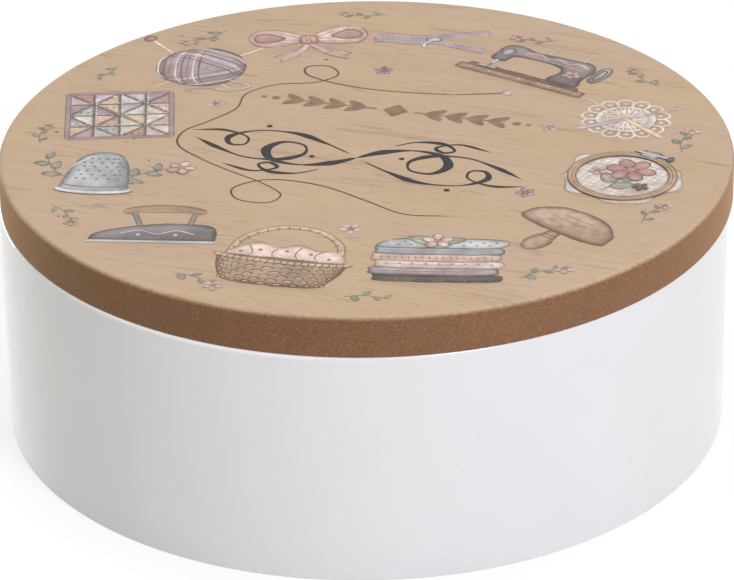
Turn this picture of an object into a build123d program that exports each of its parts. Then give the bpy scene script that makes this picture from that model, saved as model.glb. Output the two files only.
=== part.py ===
from build123d import *

import os
from math import cos, radians, sin, sqrt

# A round sewing box: a lacquered wall with a base let into its foot, a felt lining, a cross of
# dividers that lifts out, and a lid that lifts off and is kept in place by a plug under it.
# Millimetres, +Z up. The origin is the centre of the underside, in the plane the box stands on.

# Wall
wall_outer_radius = 119.5
wall_thickness = 5.0
wall_height = 79.0
rim_outer_rounding = 1.0
rim_inner_rounding = 0.6
foot_rounding = 0.4

# Base panel, glued into a rebate at the foot of the wall
base_thickness = 5.0
rebate_depth = 2.0
rebate_clearance = 0.1

# Felt lining, laid on the base panel
lining_thickness = 1.5
lining_clearance = 0.5

# Dividers: two boards, half-lapped into a cross
divider_thickness = 4.0
divider_wall_clearance = 0.75
divider_seat_clearance = 0.3
divider_plug_clearance = 1.2
divider_corner_radius = 6.0
divider_edge_rounding = 0.8
lap_clearance = 0.15

# Lid: a board with a thin facing, the top edge rounded through both, and a plug under it
lid_overhang = 0.5
lid_board_thickness = 12.7
lid_lower_rounding = 0.3
lid_face_thickness = 0.9
lid_upper_rounding = 1.8
plug_thickness = 5.0
plug_clearance = 1.5
plug_lead_in = 1.0

# The lid rests off centre, slid towards this angle until the plug is this near to the wall
lid_rest_angle = 25.0
plug_rest_gap = 0.45

# Countersunk screws, driven up through the plug into the lid board
screw_count = 4
screw_edge_distance = 28.5
screw_shank_radius = 1.5
screw_head_radius = 3.0
screw_head_rim = 0.3
screw_tip_cover = 3.7
screw_tip_length = 3.0
screw_hole_clearance = 0.1
recess_length = 3.2
recess_width = 0.6
recess_depth = 1.1

# Radii and heights that follow from the sizes above
wall_inner_radius = wall_outer_radius - wall_thickness
rebate_radius = wall_inner_radius + rebate_depth
lining_top = base_thickness + lining_thickness
lid_radius = wall_outer_radius + lid_overhang
lid_board_top = wall_height + lid_board_thickness
lid_shift = plug_clearance - plug_rest_gap
lid_centre_x = lid_shift * cos(radians(lid_rest_angle))
lid_centre_y = lid_shift * sin(radians(lid_rest_angle))
plug_radius = wall_inner_radius - plug_clearance
plug_bottom = wall_height - plug_thickness
divider_bottom = lining_top + divider_seat_clearance
divider_top = plug_bottom - divider_plug_clearance
divider_height = divider_top - divider_bottom
divider_reach = wall_inner_radius - divider_wall_clearance
divider_length = 2 * sqrt(divider_reach**2 - (divider_thickness / 2) ** 2)
lap_width = divider_thickness + 2 * lap_clearance
lap_depth = divider_height / 2 + lap_clearance
screw_circle_radius = plug_radius - screw_edge_distance
screw_length = plug_thickness + lid_board_thickness - screw_tip_cover
screw_first_angle = 180 / screw_count

os.makedirs("parts", exist_ok=True)

# The wall is one round shell. The base panel seats in a rebate round the inside of its foot.
with BuildPart() as side_wall:
    with BuildSketch():
        Circle(wall_outer_radius)
        Circle(wall_inner_radius, mode=Mode.SUBTRACT)
    extrude(amount=wall_height)
    with BuildSketch():
        Circle(rebate_radius)
    extrude(amount=base_thickness, mode=Mode.SUBTRACT)
    rim_edges = side_wall.edges().filter_by(GeomType.CIRCLE).group_by(Axis.Z)[-1]
    fillet(rim_edges.sort_by(SortBy.RADIUS)[0], rim_inner_rounding)
    rim_edges = side_wall.edges().filter_by(GeomType.CIRCLE).group_by(Axis.Z)[-1]
    fillet(rim_edges.sort_by(SortBy.RADIUS)[-1], rim_outer_rounding)
    foot_edges = side_wall.edges().filter_by(GeomType.CIRCLE).group_by(Axis.Z)[0]
    fillet(foot_edges.sort_by(SortBy.RADIUS)[-1], foot_rounding)

with BuildPart() as base_panel:
    with BuildSketch():
        Circle(rebate_radius - rebate_clearance)
    extrude(amount=base_thickness)

with BuildPart() as base_lining:
    with BuildSketch(Plane.XY.offset(base_thickness)):
        Circle(wall_inner_radius - lining_clearance)
    extrude(amount=lining_thickness)


def divider_board(board_plane, lap_centre):
    """A board upright in board_plane, with its lap slot centred at height lap_centre."""
    with BuildPart() as board:
        with BuildSketch(board_plane) as outline:
            with Locations((0, divider_bottom)):
                Rectangle(divider_length, divider_height, align=(Align.CENTER, Align.MIN))
            upper_corners = outline.vertices().group_by(Axis.Z)[-1]
            fillet(upper_corners, divider_corner_radius)
            with Locations((0, lap_centre)):
                Rectangle(lap_width, 2 * lap_depth, mode=Mode.SUBTRACT)
        extrude(amount=divider_thickness / 2, both=True)
        top_faces = board.faces().filter_by(Axis.Z).group_by(Axis.Z)[-1]
        long_edges = top_faces.edges().filter_by(lambda edge: edge.length > divider_thickness * 2)
        fillet(long_edges, divider_edge_rounding)
    return board.part


# One board is slotted from above, and the other from below, so that they slide into each other.
divider_long = divider_board(Plane.XZ, divider_top)
divider_cross = divider_board(Plane.YZ, divider_bottom)

# The lid's own axis, beside the box's by the play that it rests with
lid_plane = Plane(origin=(lid_centre_x, lid_centre_y, 0))
glue_plane = lid_plane.offset(lid_board_top)

# The facing is glued to the board before the edge is rounded, so the rounding runs through both.
with BuildPart() as lid_blank:
    with BuildSketch(lid_plane.offset(wall_height)):
        Circle(lid_radius)
    extrude(amount=lid_board_thickness + lid_face_thickness)
    fillet(lid_blank.edges().group_by(Axis.Z)[-1], lid_upper_rounding)
    fillet(lid_blank.edges().group_by(Axis.Z)[0], lid_lower_rounding)

with BuildPart() as lid_face:
    add(lid_blank.part)
    split(bisect_by=glue_plane, keep=Keep.TOP)

# The board's pilot holes and the plug's countersunk holes are on one circle, and open downwards.
with BuildPart() as lid_board:
    add(lid_blank.part)
    split(bisect_by=glue_plane, keep=Keep.BOTTOM)
    with BuildSketch(lid_plane.offset(wall_height)):
        with PolarLocations(screw_circle_radius, screw_count, screw_first_angle):
            Circle(screw_shank_radius + screw_hole_clearance)
    extrude(amount=screw_length - plug_thickness + screw_hole_clearance, mode=Mode.SUBTRACT)

with BuildPart() as lid_plug:
    with BuildSketch(lid_plane.offset(plug_bottom)):
        Circle(plug_radius)
    extrude(amount=plug_thickness)
    chamfer(lid_plug.edges().group_by(Axis.Z)[0], plug_lead_in)
    with Locations(Plane(origin=(lid_centre_x, lid_centre_y, plug_bottom), z_dir=(0, 0, -1))):
        with PolarLocations(screw_circle_radius, screw_count, screw_first_angle):
            CounterSinkHole(
                radius=screw_shank_radius + screw_hole_clearance,
                counter_sink_radius=screw_head_radius + screw_head_rim + screw_hole_clearance,
                depth=plug_thickness,
                counter_sink_angle=90,
            )

# One screw stands on its head at the origin, with a cross recess in the head.
with BuildPart() as screw:
    with BuildSketch(Plane.XZ):
        with BuildLine():
            Polyline(
                (0, 0),
                (screw_head_radius, 0),
                (screw_head_radius, screw_head_rim),
                (screw_shank_radius, screw_head_rim + screw_head_radius - screw_shank_radius),
                (screw_shank_radius, screw_length - screw_tip_length),
                (0, screw_length),
                close=True,
            )
        make_face()
    revolve(axis=Axis.Z)
    with BuildSketch():
        Rectangle(recess_length, recess_width)
        Rectangle(recess_width, recess_length)
    extrude(amount=recess_depth, mode=Mode.SUBTRACT)

with BuildPart(lid_plane.offset(plug_bottom)) as plug_screws:
    with PolarLocations(screw_circle_radius, screw_count, screw_first_angle):
        add(screw.part)

pieces = {
    "side_wall": side_wall.part,
    "base_panel": base_panel.part,
    "base_lining": base_lining.part,
    "divider_long": divider_long,
    "divider_cross": divider_cross,
    "lid_board": lid_board.part,
    "lid_face": lid_face.part,
    "lid_plug": lid_plug.part,
    "plug_screws": plug_screws.part,
}

for name, piece in pieces.items():
    piece.label = name
    export_step(piece, f"parts/{name}.step")
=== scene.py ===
from math import asin, cos, pi, radians, sin, sqrt, tau

import bmesh
import bpy
import numpy as np
from mathutils import Matrix, Vector
from mathutils.geometry import delaunay_2d_cdt


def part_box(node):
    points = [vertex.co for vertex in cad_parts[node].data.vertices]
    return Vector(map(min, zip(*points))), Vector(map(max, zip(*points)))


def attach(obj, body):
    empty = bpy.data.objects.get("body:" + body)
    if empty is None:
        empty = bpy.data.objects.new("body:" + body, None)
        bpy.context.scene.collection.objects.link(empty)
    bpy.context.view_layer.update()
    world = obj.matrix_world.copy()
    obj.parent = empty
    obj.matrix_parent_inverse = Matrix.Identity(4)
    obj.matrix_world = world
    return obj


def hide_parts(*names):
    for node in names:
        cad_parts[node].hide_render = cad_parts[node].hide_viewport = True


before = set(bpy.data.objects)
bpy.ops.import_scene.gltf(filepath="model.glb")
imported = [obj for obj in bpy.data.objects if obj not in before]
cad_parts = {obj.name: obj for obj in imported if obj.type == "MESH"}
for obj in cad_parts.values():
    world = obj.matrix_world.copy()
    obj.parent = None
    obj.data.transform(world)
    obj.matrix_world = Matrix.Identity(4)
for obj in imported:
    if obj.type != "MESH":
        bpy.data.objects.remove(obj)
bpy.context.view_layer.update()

# A round sewing box with a lacquered wall, a cross of dividers on felt, and a lid with a printed
# wood facing. Metres, +Z up; the photographed side faces -Y.
MM = 0.001
rng = np.random.default_rng(11)

# Places taken from the frame
wall_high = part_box("side_wall")[1]
lining_low, lining_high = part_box("base_lining")
base_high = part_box("base_panel")[1]
board_low, board_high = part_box("lid_board")
face_low, face_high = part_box("lid_face")
WALL_RADIUS = wall_high.x
LID_RADIUS = (board_high.x - board_low.x) / 2
LID_CENTRE = (board_high + board_low) / 2

# Sizes of the wall, lid and dividers
WALL_THICKNESS = 5 * MM
RIM_OUTER_ROUNDING = 1 * MM
RIM_INNER_ROUNDING = 0.6 * MM
FOOT_ROUNDING = 0.4 * MM
REBATE_DEPTH = 2 * MM
LID_LOWER_ROUNDING = 0.3 * MM
LID_ROUNDING = 1.8 * MM
DIVIDER_CORNER = 6 * MM
DIVIDER_EASING = 0.6 * MM
LAP_CLEARANCE = 0.15 * MM

# Fineness of the meshes, and how far beside a rounding they have one more ring
TURNED_SEGMENTS = 288
ROUNDING_STEPS = 6
CORNER_STEPS = 8
FELT_SEGMENTS = 144
FELT_RINGS = 14
SUPPORT = 0.25 * MM
EDGE_SUPPORT = 0.3 * MM

# The photographed view: a long lens 27.5 degrees above the table, turned a touch clockwise
PHOTO_WIDTH = 734
SENSOR_WIDTH = 36
FOCAL_LENGTH_PX = 4152.9
CAMERA_DISTANCE = 1.3814
CAMERA_ELEVATION = radians(27.511)
CAMERA_ROLL = -0.01279
CAMERA_TARGET = Vector((0.00066, 0, 0.03991))
LAMP_TARGET = Vector((0, 0, 0.05))

# Light from all round, and the floor, shaded near the box and white further out
AMBIENT = 0.435
FLOOR_REACH = 6.0
FLOOR_LEVEL = -0.02 * MM
FLOOR_COLOUR = (0.585, 0.585, 0.565)
SHADOW_NEAR, SHADOW_FAR, SHADOW_SHARE = 0.16, 0.5, 0.28
MIRRORED_GLOW = 1.1

# The grain and the print are both turned on the lid by this angle, in degrees
LID_TURN = -20


scene = bpy.context.scene


def placed(name, data):
    obj = bpy.data.objects.new(name, data)
    scene.collection.objects.link(obj)
    return obj


def polar(radius, angle, x=0.0, y=0.0):
    return x + radius * cos(angle), y + radius * sin(angle)


def block(left, low, right, high):
    return [(left, low), (right, low), (right, high), (left, high)]


def mirrored(points):
    """The points, and then their mirror image across x = 0."""
    return points + [(-x, y) for x, y in reversed(points) if x]


# Camera and lamps
scene.view_settings.view_transform = "Standard"
camera_data = bpy.data.cameras.new("camera")
camera_data.sensor_fit = "HORIZONTAL"
camera_data.sensor_width = SENSOR_WIDTH
camera_data.lens = FOCAL_LENGTH_PX / PHOTO_WIDTH * SENSOR_WIDTH
camera_data.clip_start = 0.05
camera_data.clip_end = 50
tilt = Matrix.Rotation(pi / 2 - CAMERA_ELEVATION, 4, "X") @ Matrix.Rotation(CAMERA_ROLL, 4, "Z")
back = Matrix.Translation((0, 0, CAMERA_DISTANCE))
scene.camera = placed("camera", camera_data)
scene.camera.matrix_world = Matrix.Translation(CAMERA_TARGET) @ tilt @ back

for name, place, power, size, colour in (
        ("key_lamp", (0.75, -1.30, 1.15), 22.2, 0.7, (0.89, 0.88, 1.0)),
        ("top_lamp", (0.0, 0.35, 1.9), 12.6, 1.0, (1.0, 0.99, 0.985)),
        ("side_lamp", (-1.10, 1.15, 0.10), 10.0, 0.6, (1.0, 0.99, 0.96))):
    lamp_data = bpy.data.lights.new(name, "AREA")
    lamp_data.shape = "DISK"
    lamp_data.size = size
    lamp_data.energy = power
    lamp_data.color = colour
    lamp = placed(name, lamp_data)
    lamp.location = place
    lamp.rotation_euler = (LAMP_TARGET - Vector(place)).to_track_quat("-Z", "Y").to_euler()


class Shader:
    """Nodes of a material or the world, added by short calls. Sizes of patterns are in metres."""

    def __init__(self, name, kind="materials", surface="Principled BSDF", **inputs):
        self.made = getattr(bpy.data, kind).new(name)
        self.made.use_nodes = True
        self.tree = self.made.node_tree
        self.surface = self.feed(self.tree.nodes[surface], **inputs)

    def set(self, node, key, value):
        socket = node.inputs[key]
        if isinstance(value, bpy.types.NodeSocket):
            self.tree.links.new(value, socket)
        else:
            socket.default_value = value

    def feed(self, node, **inputs):
        """Sets or links inputs of a node, named with _ for a space."""
        for key, value in inputs.items():
            self.set(node, key.replace("_", " "), value)
        return node

    def add(self, kind, settings=(), **inputs):
        node = self.tree.nodes.new("ShaderNode" + kind)
        for key, value in dict(settings).items():
            setattr(node, key, value)
        return self.feed(node, **inputs)

    def where(self):
        return self.add("TexCoord").outputs["Object"]

    def axes(self):
        return self.add("SeparateXYZ", Vector=self.where()).outputs

    def noise(self, size, octaves, turn=0.0, **more):
        """size is one length, or three, for the noise's unit cell."""
        size = size if hasattr(size, "__len__") else (size, size, size)
        found = self.add("Mapping", {"vector_type": "TEXTURE"}, Vector=self.where(), Scale=size,
                         Rotation=(0, 0, turn)).outputs[0]
        return self.add("TexNoise", Vector=found, Scale=1.0, Detail=octaves, **more).outputs[0]

    def window(self, value, low, high, least=0.0, most=1.0):
        """value, from low to high, as least to most, held flat outside."""
        return self.add("MapRange", {"interpolation_type": "SMOOTHSTEP"}, Value=value, From_Min=low,
                        From_Max=high, To_Min=least, To_Max=most).outputs[0]

    def mix(self, amount, first, second, how="MIX"):
        """first to second. Each is a socket, a colour or one grey level."""
        node = self.add("Mix", {"data_type": "RGBA", "blend_type": how})
        self.set(node, 0, amount)
        for index, colour in ((6, first), (7, second)):
            if isinstance(colour, float):
                colour = (colour, colour, colour)
            self.set(node, index, (*colour, 1) if isinstance(colour, tuple) else colour)
        return node.outputs[2]

    def math(self, how, first, second=0.0):
        node = self.add("Math", {"operation": how})
        self.set(node, 0, first)
        self.set(node, 1, second)
        return node.outputs[0]

    def times(self, first, second):
        return self.math("MULTIPLY", first, second)

    def finish(self, colour, roughness, height, depth, strength=1.0):
        """The finished material, with relief of the given depth in metres."""
        relief = self.add("Bump", Height=height, Distance=depth, Strength=strength).outputs[0]
        self.feed(self.surface, Base_Color=colour, Roughness=roughness, Normal=relief)
        return self.made


# World and floor
sky = Shader("studio", "worlds", "Background")
scene.world = sky.made
rays = sky.add("LightPath").outputs
seen = sky.math("MAXIMUM", rays["Is Camera Ray"], rays["Is Glossy Ray"])
seen = sky.math("MAXIMUM", seen, rays["Is Transmission Ray"])
sky.feed(sky.surface, Color=sky.mix(seen, (AMBIENT, AMBIENT, 0.92 * AMBIENT), 1.0))

paper = Shader("floor_paper", Roughness=1.0, Specular_IOR_Level=0.0, Emission_Color=(1, 1, 1, 1))
rays = paper.add("LightPath").outputs
seen, reflected = rays["Is Camera Ray"], rays["Is Glossy Ray"]
away = paper.add("VectorMath", {"operation": "LENGTH"}, Vector=paper.where()).outputs["Value"]
shaded = paper.window(away, SHADOW_NEAR, SHADOW_FAR, SHADOW_SHARE, 0.0)
glow = paper.times(seen, paper.math("SUBTRACT", 1.0, shaded))
glow = paper.math("ADD", glow, paper.times(reflected, MIRRORED_GLOW))
colour = paper.mix(reflected, paper.mix(seen, FLOOR_COLOUR, shaded), 0.0)
paper.feed(paper.surface, Base_Color=colour, Emission_Strength=glow)
corners = block(-FLOOR_REACH, -FLOOR_REACH, FLOOR_REACH, FLOOR_REACH)
floor_mesh = bpy.data.meshes.new("floor")
floor_mesh.from_pydata([(x, y, FLOOR_LEVEL) for x, y in corners], [], [(0, 1, 2, 3)])
floor_mesh.materials.append(paper.made)
placed("floor", floor_mesh)


# Finishes
def lacquer(name, white, pale_above=None):
    """Satin white lacquer: a faint orange peel, faint cloudiness and a few small scuffs. With
    pale_above it gets a painted highlight just below that height and above it, brightest near one X."""
    s = Shader(name, IOR=1.5, Coat_Weight=0.6, Coat_Roughness=0.12)
    tone = s.mix(s.window(s.noise(0.035, 3), 0.3, 0.7), 0.975 * white, white)
    speck = s.window(s.noise((0.0012, 0.0012, 0.0022), 1), 0.765, 0.80)
    rare = s.window(s.noise(0.02, 0), 0.60, 0.68)
    scuff = s.times(s.times(speck, rare), 0.35)
    tone = s.mix(scuff, tone, (0.45, 0.44, 0.42))
    if pale_above is not None:
        # Painted highlight along the rim, strongest around one X and faint elsewhere.
        found = s.axes()
        brightest_highlight_x = -0.05
        aside = s.math("ABSOLUTE", s.math("SUBTRACT", found["X"], brightest_highlight_x))
        painted_highlight = s.window(aside, 0.02, 0.05, 0.75, 0.1)
        high = s.window(found["Z"], pale_above - 1.2 * MM, pale_above)
        tone = s.mix(s.times(painted_highlight, high), tone, (0.95, 0.94, 0.93))
    roughness = s.window(s.noise(0.012, 4), 0.25, 0.75, 0.285, 0.36)
    peel = s.times(s.noise(0.0016, 1.5), 0.25)
    ripple = s.noise(0.011, 2)
    return s.finish(tone, roughness, s.math("ADD", peel, ripple), 0.09 * MM)


def stain_level(s):
    """Height, a little ragged, that sets how far up the brown stain reaches. It is raised towards +X,
    so the stain stops lower there, a painted lighter edge on the lit side. Also the plain place on
    the object."""
    found = s.axes()
    ragged = s.window(s.noise(0.0009, 2), 0.3, 0.7, -0.12 * MM, 0.12 * MM)
    # Painted light: towards +X the stain stops lower, so the lit side of the edge shows lighter.
    less = s.window(found["X"], -0.03, 0.07, 0.0, 0.32 * MM)
    return s.math("ADD", found["Z"], s.math("ADD", ragged, less)), found


def fibreboard(name, colour, fibre_size=0.55 * MM, pale_above=None):
    """Stained fibreboard: pale and dark fibre flecks on an uneven brown ground. With pale_above,
    it is darkened towards -X as painted shade, and it is paler near that height."""
    s = Shader(name, IOR=1.45, Sheen_Weight=0.8, Sheen_Roughness=0.5, Sheen_Tint=(0.70, 0.44, 0.25, 1))
    deep, low, high = (tuple(share * c for c in colour) for share in (0.62, 0.9, 1.08))
    pale = tuple(c * k for c, k in zip(colour, (1.75, 1.95, 2.15)))
    cloud = s.window(s.noise(0.009, 3), 0.3, 0.7)
    ground = s.mix(cloud, low, high)
    flecks = s.noise((fibre_size * 1.5, fibre_size * 1.5, fibre_size), 2, Roughness=0.7)
    pits = s.window(s.noise(fibre_size * 1.7, 2, Distortion=0.6), 0.52, 0.70, 0.0, 0.6)
    tone = s.mix(pits, ground, deep)
    tone = s.mix(s.window(flecks, 0.50, 0.68, 0.0, 0.62), tone, pale)
    if pale_above is not None:
        level, found = stain_level(s)
        # Painted shade: darker and less blue towards -X, the side away from the key lamp.
        side = s.window(found["X"], -0.07, 0.03)
        tone = s.mix(1.0, tone, s.mix(side, (0.79, 0.785, 0.66), (1.03, 1.03, 1.02)), "MULTIPLY")
        # Paler towards the top of the edge; level also carries a painted lighter edge towards +X.
        bare = s.window(level, pale_above - 0.3 * MM, pale_above + 0.9 * MM, 0.0, 0.8)
        tone = s.mix(bare, tone, (0.50, 0.36, 0.24))
    return s.finish(tone, s.window(cloud, 0, 1, 0.74, 0.9), flecks, 0.22 * MM, 0.8)


def maple_colour(s):
    """The pale facing: broad warm clouds, fine fibre, short dark flecks and a few long lines.
    Also the fibre alone."""
    def grain(along, across, octaves, **more):
        return s.noise((along, across, across), octaves, radians(LID_TURN), **more)

    pink = (0.497, 0.360, 0.252)
    yellow = (0.502, 0.361, 0.231)
    brown = (0.28, 0.175, 0.105)
    tone = s.mix(s.window(grain(0.085, 0.03, 2), 0.34, 0.66), pink, yellow)
    cloud = s.window(grain(0.045, 0.014, 3), 0.35, 0.7, 0.0, 0.10)
    fibre = s.window(grain(0.022, 0.0006, 3, Roughness=0.6), 0.3, 0.75, 0.0, 0.15)
    tone = s.mix(fibre, s.mix(cloud, tone, brown), brown)
    fleck = s.window(grain(0.008, 0.0008, 1), 0.60, 0.72, 0.0, 0.45)
    crowd = s.window(grain(0.05, 0.018, 1), 0.38, 0.62, 0.35, 1.0)
    tone = s.mix(s.times(fleck, crowd), tone, brown)
    contour = s.times(grain(0.16, 0.011, 1.5, Distortion=0.35), 7.0)
    near = s.math("ABSOLUTE", s.math("SUBTRACT", s.math("FRACT", contour), 0.5))
    line = s.window(near, 0.0, 0.08, 0.46, 0.0)
    broken = s.window(grain(0.035, 0.012, 1), 0.42, 0.62)
    return s.mix(s.times(line, broken), tone, brown), fibre


def facing():
    """Maple, stained brown round its edge up to a ragged line just under the flat top."""
    s = Shader("maple_facing", IOR=1.45)
    colour, fibre = maple_colour(s)
    # level carries painted light: the brown stops lower towards +X, the lit side.
    level, found = stain_level(s)
    top = face_high.z
    brown = s.window(level, top - 0.9 * MM, top + 0.1 * MM, 0.95, 0.0)
    rounded_off = s.window(found["Z"], top - 0.06 * MM, top - 0.005 * MM, 1.0, 0.0)
    colour = s.mix(s.times(brown, rounded_off), colour, (0.22, 0.11, 0.058))
    roughness = s.window(s.noise(0.014, 3), 0.3, 0.7, 0.56, 0.68)
    return s.finish(colour, roughness, fibre, 0.3 * MM, 0.5)


def print_ink():
    """Matt print: the grain shows through thin colour, and pigment gathers in grains."""
    s = Shader("print_ink", IOR=1.45)
    paint = s.add("Attribute", {"attribute_name": "paint"}).outputs
    wood, fibre = maple_colour(s)
    wash = s.window(s.noise(0.0034, 5, Roughness=0.72), 0.3, 0.72, 0.76, 1.14)
    tone = s.mix(1.0, paint["Color"], wash, "MULTIPLY")
    cover = s.window(s.noise(0.006, 3), 0.35, 0.75, 0.96, 0.78)
    cover = s.math("MINIMUM", s.times(cover, paint["Alpha"]), 1.0)
    roughness = s.window(wash, 0.82, 1.12, 0.58, 0.7)
    return s.finish(s.mix(cover, wood, tone), roughness, fibre, 0.3 * MM, 0.35)


def felt():
    """Pressed wool felt: crossing fibres, a soft nap and slight mottling."""
    s = Shader("felt_nap", Sheen_Weight=0.35, Sheen_Roughness=0.5, Specular_IOR_Level=0.2)
    mottle = s.window(s.noise(0.009, 4), 0.3, 0.7)
    ground = s.mix(mottle, (0.36, 0.305, 0.28), (0.45, 0.39, 0.36))
    one = s.noise((0.004, 0.0003, 0.0003), 2, radians(25), Distortion=1.5)
    other = s.noise((0.0003, 0.0035, 0.0003), 2, radians(-20), Distortion=1.5)
    fibres = s.math("MAXIMUM", s.window(one, 0.55, 0.72), s.window(other, 0.55, 0.72))
    tone = s.mix(s.times(fibres, 0.5), ground, (0.60, 0.54, 0.50))
    roughness = s.window(fibres, 0, 1, 0.85, 0.97)
    return s.finish(tone, roughness, s.math("ADD", fibres, mottle), 0.4 * MM, 0.7)


def zinc():
    """Zinc plate: a fine grain with duller patches."""
    s = Shader("zinc_plate", Metallic=1.0)
    patch = s.window(s.noise(0.002, 4), 0.3, 0.7)
    tone = s.mix(patch, (0.52, 0.52, 0.54), (0.66, 0.66, 0.68))
    return s.finish(tone, s.window(patch, 0, 1, 0.42, 0.28), s.noise(0.0003, 2), 0.05 * MM, 0.5)


WHITE = 0.785
# The wall's rim gets a painted highlight just under the lid.
wall_lacquer = lacquer("wall_lacquer", WHITE, wall_high.z - RIM_OUTER_ROUNDING / 2)
base_lacquer = lacquer("base_lacquer", 0.95 * WHITE)
divider_lacquer = lacquer("divider_lacquer", 0.975 * WHITE)
# The lid's edge gets painted shade towards -X and a painted lighter edge towards +X.
edge_board = fibreboard("stained_fibreboard", (0.197, 0.090, 0.043), pale_above=board_high.z)
plug_board = fibreboard("bare_fibreboard", (0.30, 0.17, 0.10), 0.8 * MM)
maple_facing = facing()
ink = print_ink()
felt_nap = felt()
zinc_plate = zinc()


# Pieces made from meshes
def shown(name, mesh, material, body):
    mesh.materials.append(material)
    piece = placed(name, mesh)
    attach(piece, body)
    return piece


def solid_piece(name, bm, material, body, replaced, sharp=radians(35)):
    bmesh.ops.recalc_face_normals(bm, faces=bm.faces)
    mesh = bpy.data.meshes.new(name)
    bm.to_mesh(mesh)
    bm.free()
    mesh.shade_smooth()
    mesh.set_sharp_from_angle(angle=sharp)
    piece = shown(name, mesh, material, body)
    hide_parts(replaced)
    return piece


def join_rings(bm, rings):
    """Faces from each ring of vertices to the next, and from the last to the first. A ring may be
    one vertex, repeated."""
    for lower, upper in zip(rings, rings[1:] + rings[:1]):
        for k in range(len(lower)):
            n = (k + 1) % len(lower)
            corners = list(dict.fromkeys((lower[k], lower[n], upper[n], upper[k])))
            if len(corners) > 2:
                bm.faces.new(corners)


def rounded(corners):
    """A profile through corners of (radius, height, rounding). Those with a rounding are square."""
    points = []
    for i, (radius, height, rounding) in enumerate(corners):
        here = Vector((radius, height))
        if not rounding:
            points.append(here)
            continue
        back = (Vector(corners[i - 1][:2]) - here).normalized()
        ahead = (Vector(corners[(i + 1) % len(corners)][:2]) - here).normalized()
        centre = here + (back + ahead) * rounding
        points.append(here + back * (rounding + SUPPORT))
        for k in range(ROUNDING_STEPS + 1):
            angle = k / ROUNDING_STEPS * pi / 2
            points.append(centre - ahead * rounding * cos(angle) - back * rounding * sin(angle))
        points.append(here + ahead * (rounding + SUPPORT))
    return points


def turned(name, corners, material, body, replaced, centre=Vector((0, 0))):
    """A piece turned about an upright axis. A corner on the axis becomes one shared vertex."""
    bm = bmesh.new()
    rings = []
    for radius, height in rounded(corners):
        if radius < 1e-9:
            rings.append([bm.verts.new((centre.x, centre.y, height))] * TURNED_SEGMENTS)
            continue
        angles = [tau * k / TURNED_SEGMENTS for k in range(TURNED_SEGMENTS)]
        rings.append([bm.verts.new((*polar(radius, a, *centre.xy), height)) for a in angles])
    join_rings(bm, rings)
    return solid_piece(name, bm, material, body, replaced)


inner = WALL_RADIUS - WALL_THICKNESS
rebate = inner + REBATE_DEPTH
turned("wall_shell", [
    (WALL_RADIUS, 0, FOOT_ROUNDING),
    (WALL_RADIUS, wall_high.z, RIM_OUTER_ROUNDING),
    (inner, wall_high.z, RIM_INNER_ROUNDING),
    (inner, base_high.z, 0),
    (rebate, base_high.z, 0),
    (rebate, 0, 0),
], wall_lacquer, "box", "side_wall")


def upper_edge(first, last, steps):
    """Corners along the lid's upper rounding, between two angles above the horizontal."""
    centre = LID_RADIUS - LID_ROUNDING, face_high.z - LID_ROUNDING
    return [(*polar(LID_ROUNDING, first + (last - first) * k / steps, *centre), 0)
            for k in range(steps + 1)]


# The rounding of the upper edge runs through the facing into the board.
glue_angle = asin(1 - (face_high.z - face_low.z) / LID_ROUNDING)
turned("lid_slab", [
    (0, board_low.z, 0),
    (LID_RADIUS, board_low.z, LID_LOWER_ROUNDING),
    (LID_RADIUS, face_high.z - LID_ROUNDING - EDGE_SUPPORT, 0),
    *upper_edge(0, glue_angle, 4),
    (0, board_high.z, 0),
], edge_board, "lid", "lid_board", LID_CENTRE)

turned("lid_facing", [
    (0, face_low.z, 0),
    *upper_edge(glue_angle, pi / 2, 8),
    (LID_RADIUS - LID_ROUNDING - EDGE_SUPPORT, face_high.z, 0),
    (0, face_high.z, 0),
], maple_facing, "lid", "lid_face", LID_CENTRE)


def divider(name, low, high, along_x):
    """An upright board with rounded upper corners and eased edges. Its lap slot opens upwards if it
    stands along X, and downwards if along Y."""
    reach, half = (high.x, high.y) if along_x else (high.y, high.x)
    slot, middle = half + LAP_CLEARANCE, (low.z + high.z) / 2
    angles = [k / CORNER_STEPS * pi / 2 for k in range(CORNER_STEPS + 1)]
    outline = [(reach, low.z)]
    centre = reach - DIVIDER_CORNER, high.z - DIVIDER_CORNER
    outline += [polar(DIVIDER_CORNER, a, *centre) for a in angles]
    if along_x:
        outline += [(slot, high.z), (slot, middle - LAP_CLEARANCE)]
    else:
        outline = [(slot, middle + LAP_CLEARANCE), (slot, low.z)] + outline
    outline = mirrored(outline)
    bm = bmesh.new()
    face = bm.faces.new([bm.verts.new((x, -half, z) if along_x else (half, x, z)) for x, z in outline])
    grown = bmesh.ops.extrude_face_region(bm, geom=[face])["geom"]
    far = [v for v in grown if isinstance(v, bmesh.types.BMVert)]
    bmesh.ops.translate(bm, verts=far, vec=(0, 2 * half, 0) if along_x else (-2 * half, 0, 0))
    piece = solid_piece(name + "_panel", bm, divider_lacquer, "dividers", name)
    easing = piece.modifiers.new("easing", "BEVEL")
    easing.width = DIVIDER_EASING
    easing.segments = 3
    easing.angle_limit = radians(50)
    easing.harden_normals = True


divider("divider_long", *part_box("divider_long"), True)
divider("divider_cross", *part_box("divider_cross"), False)


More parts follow.
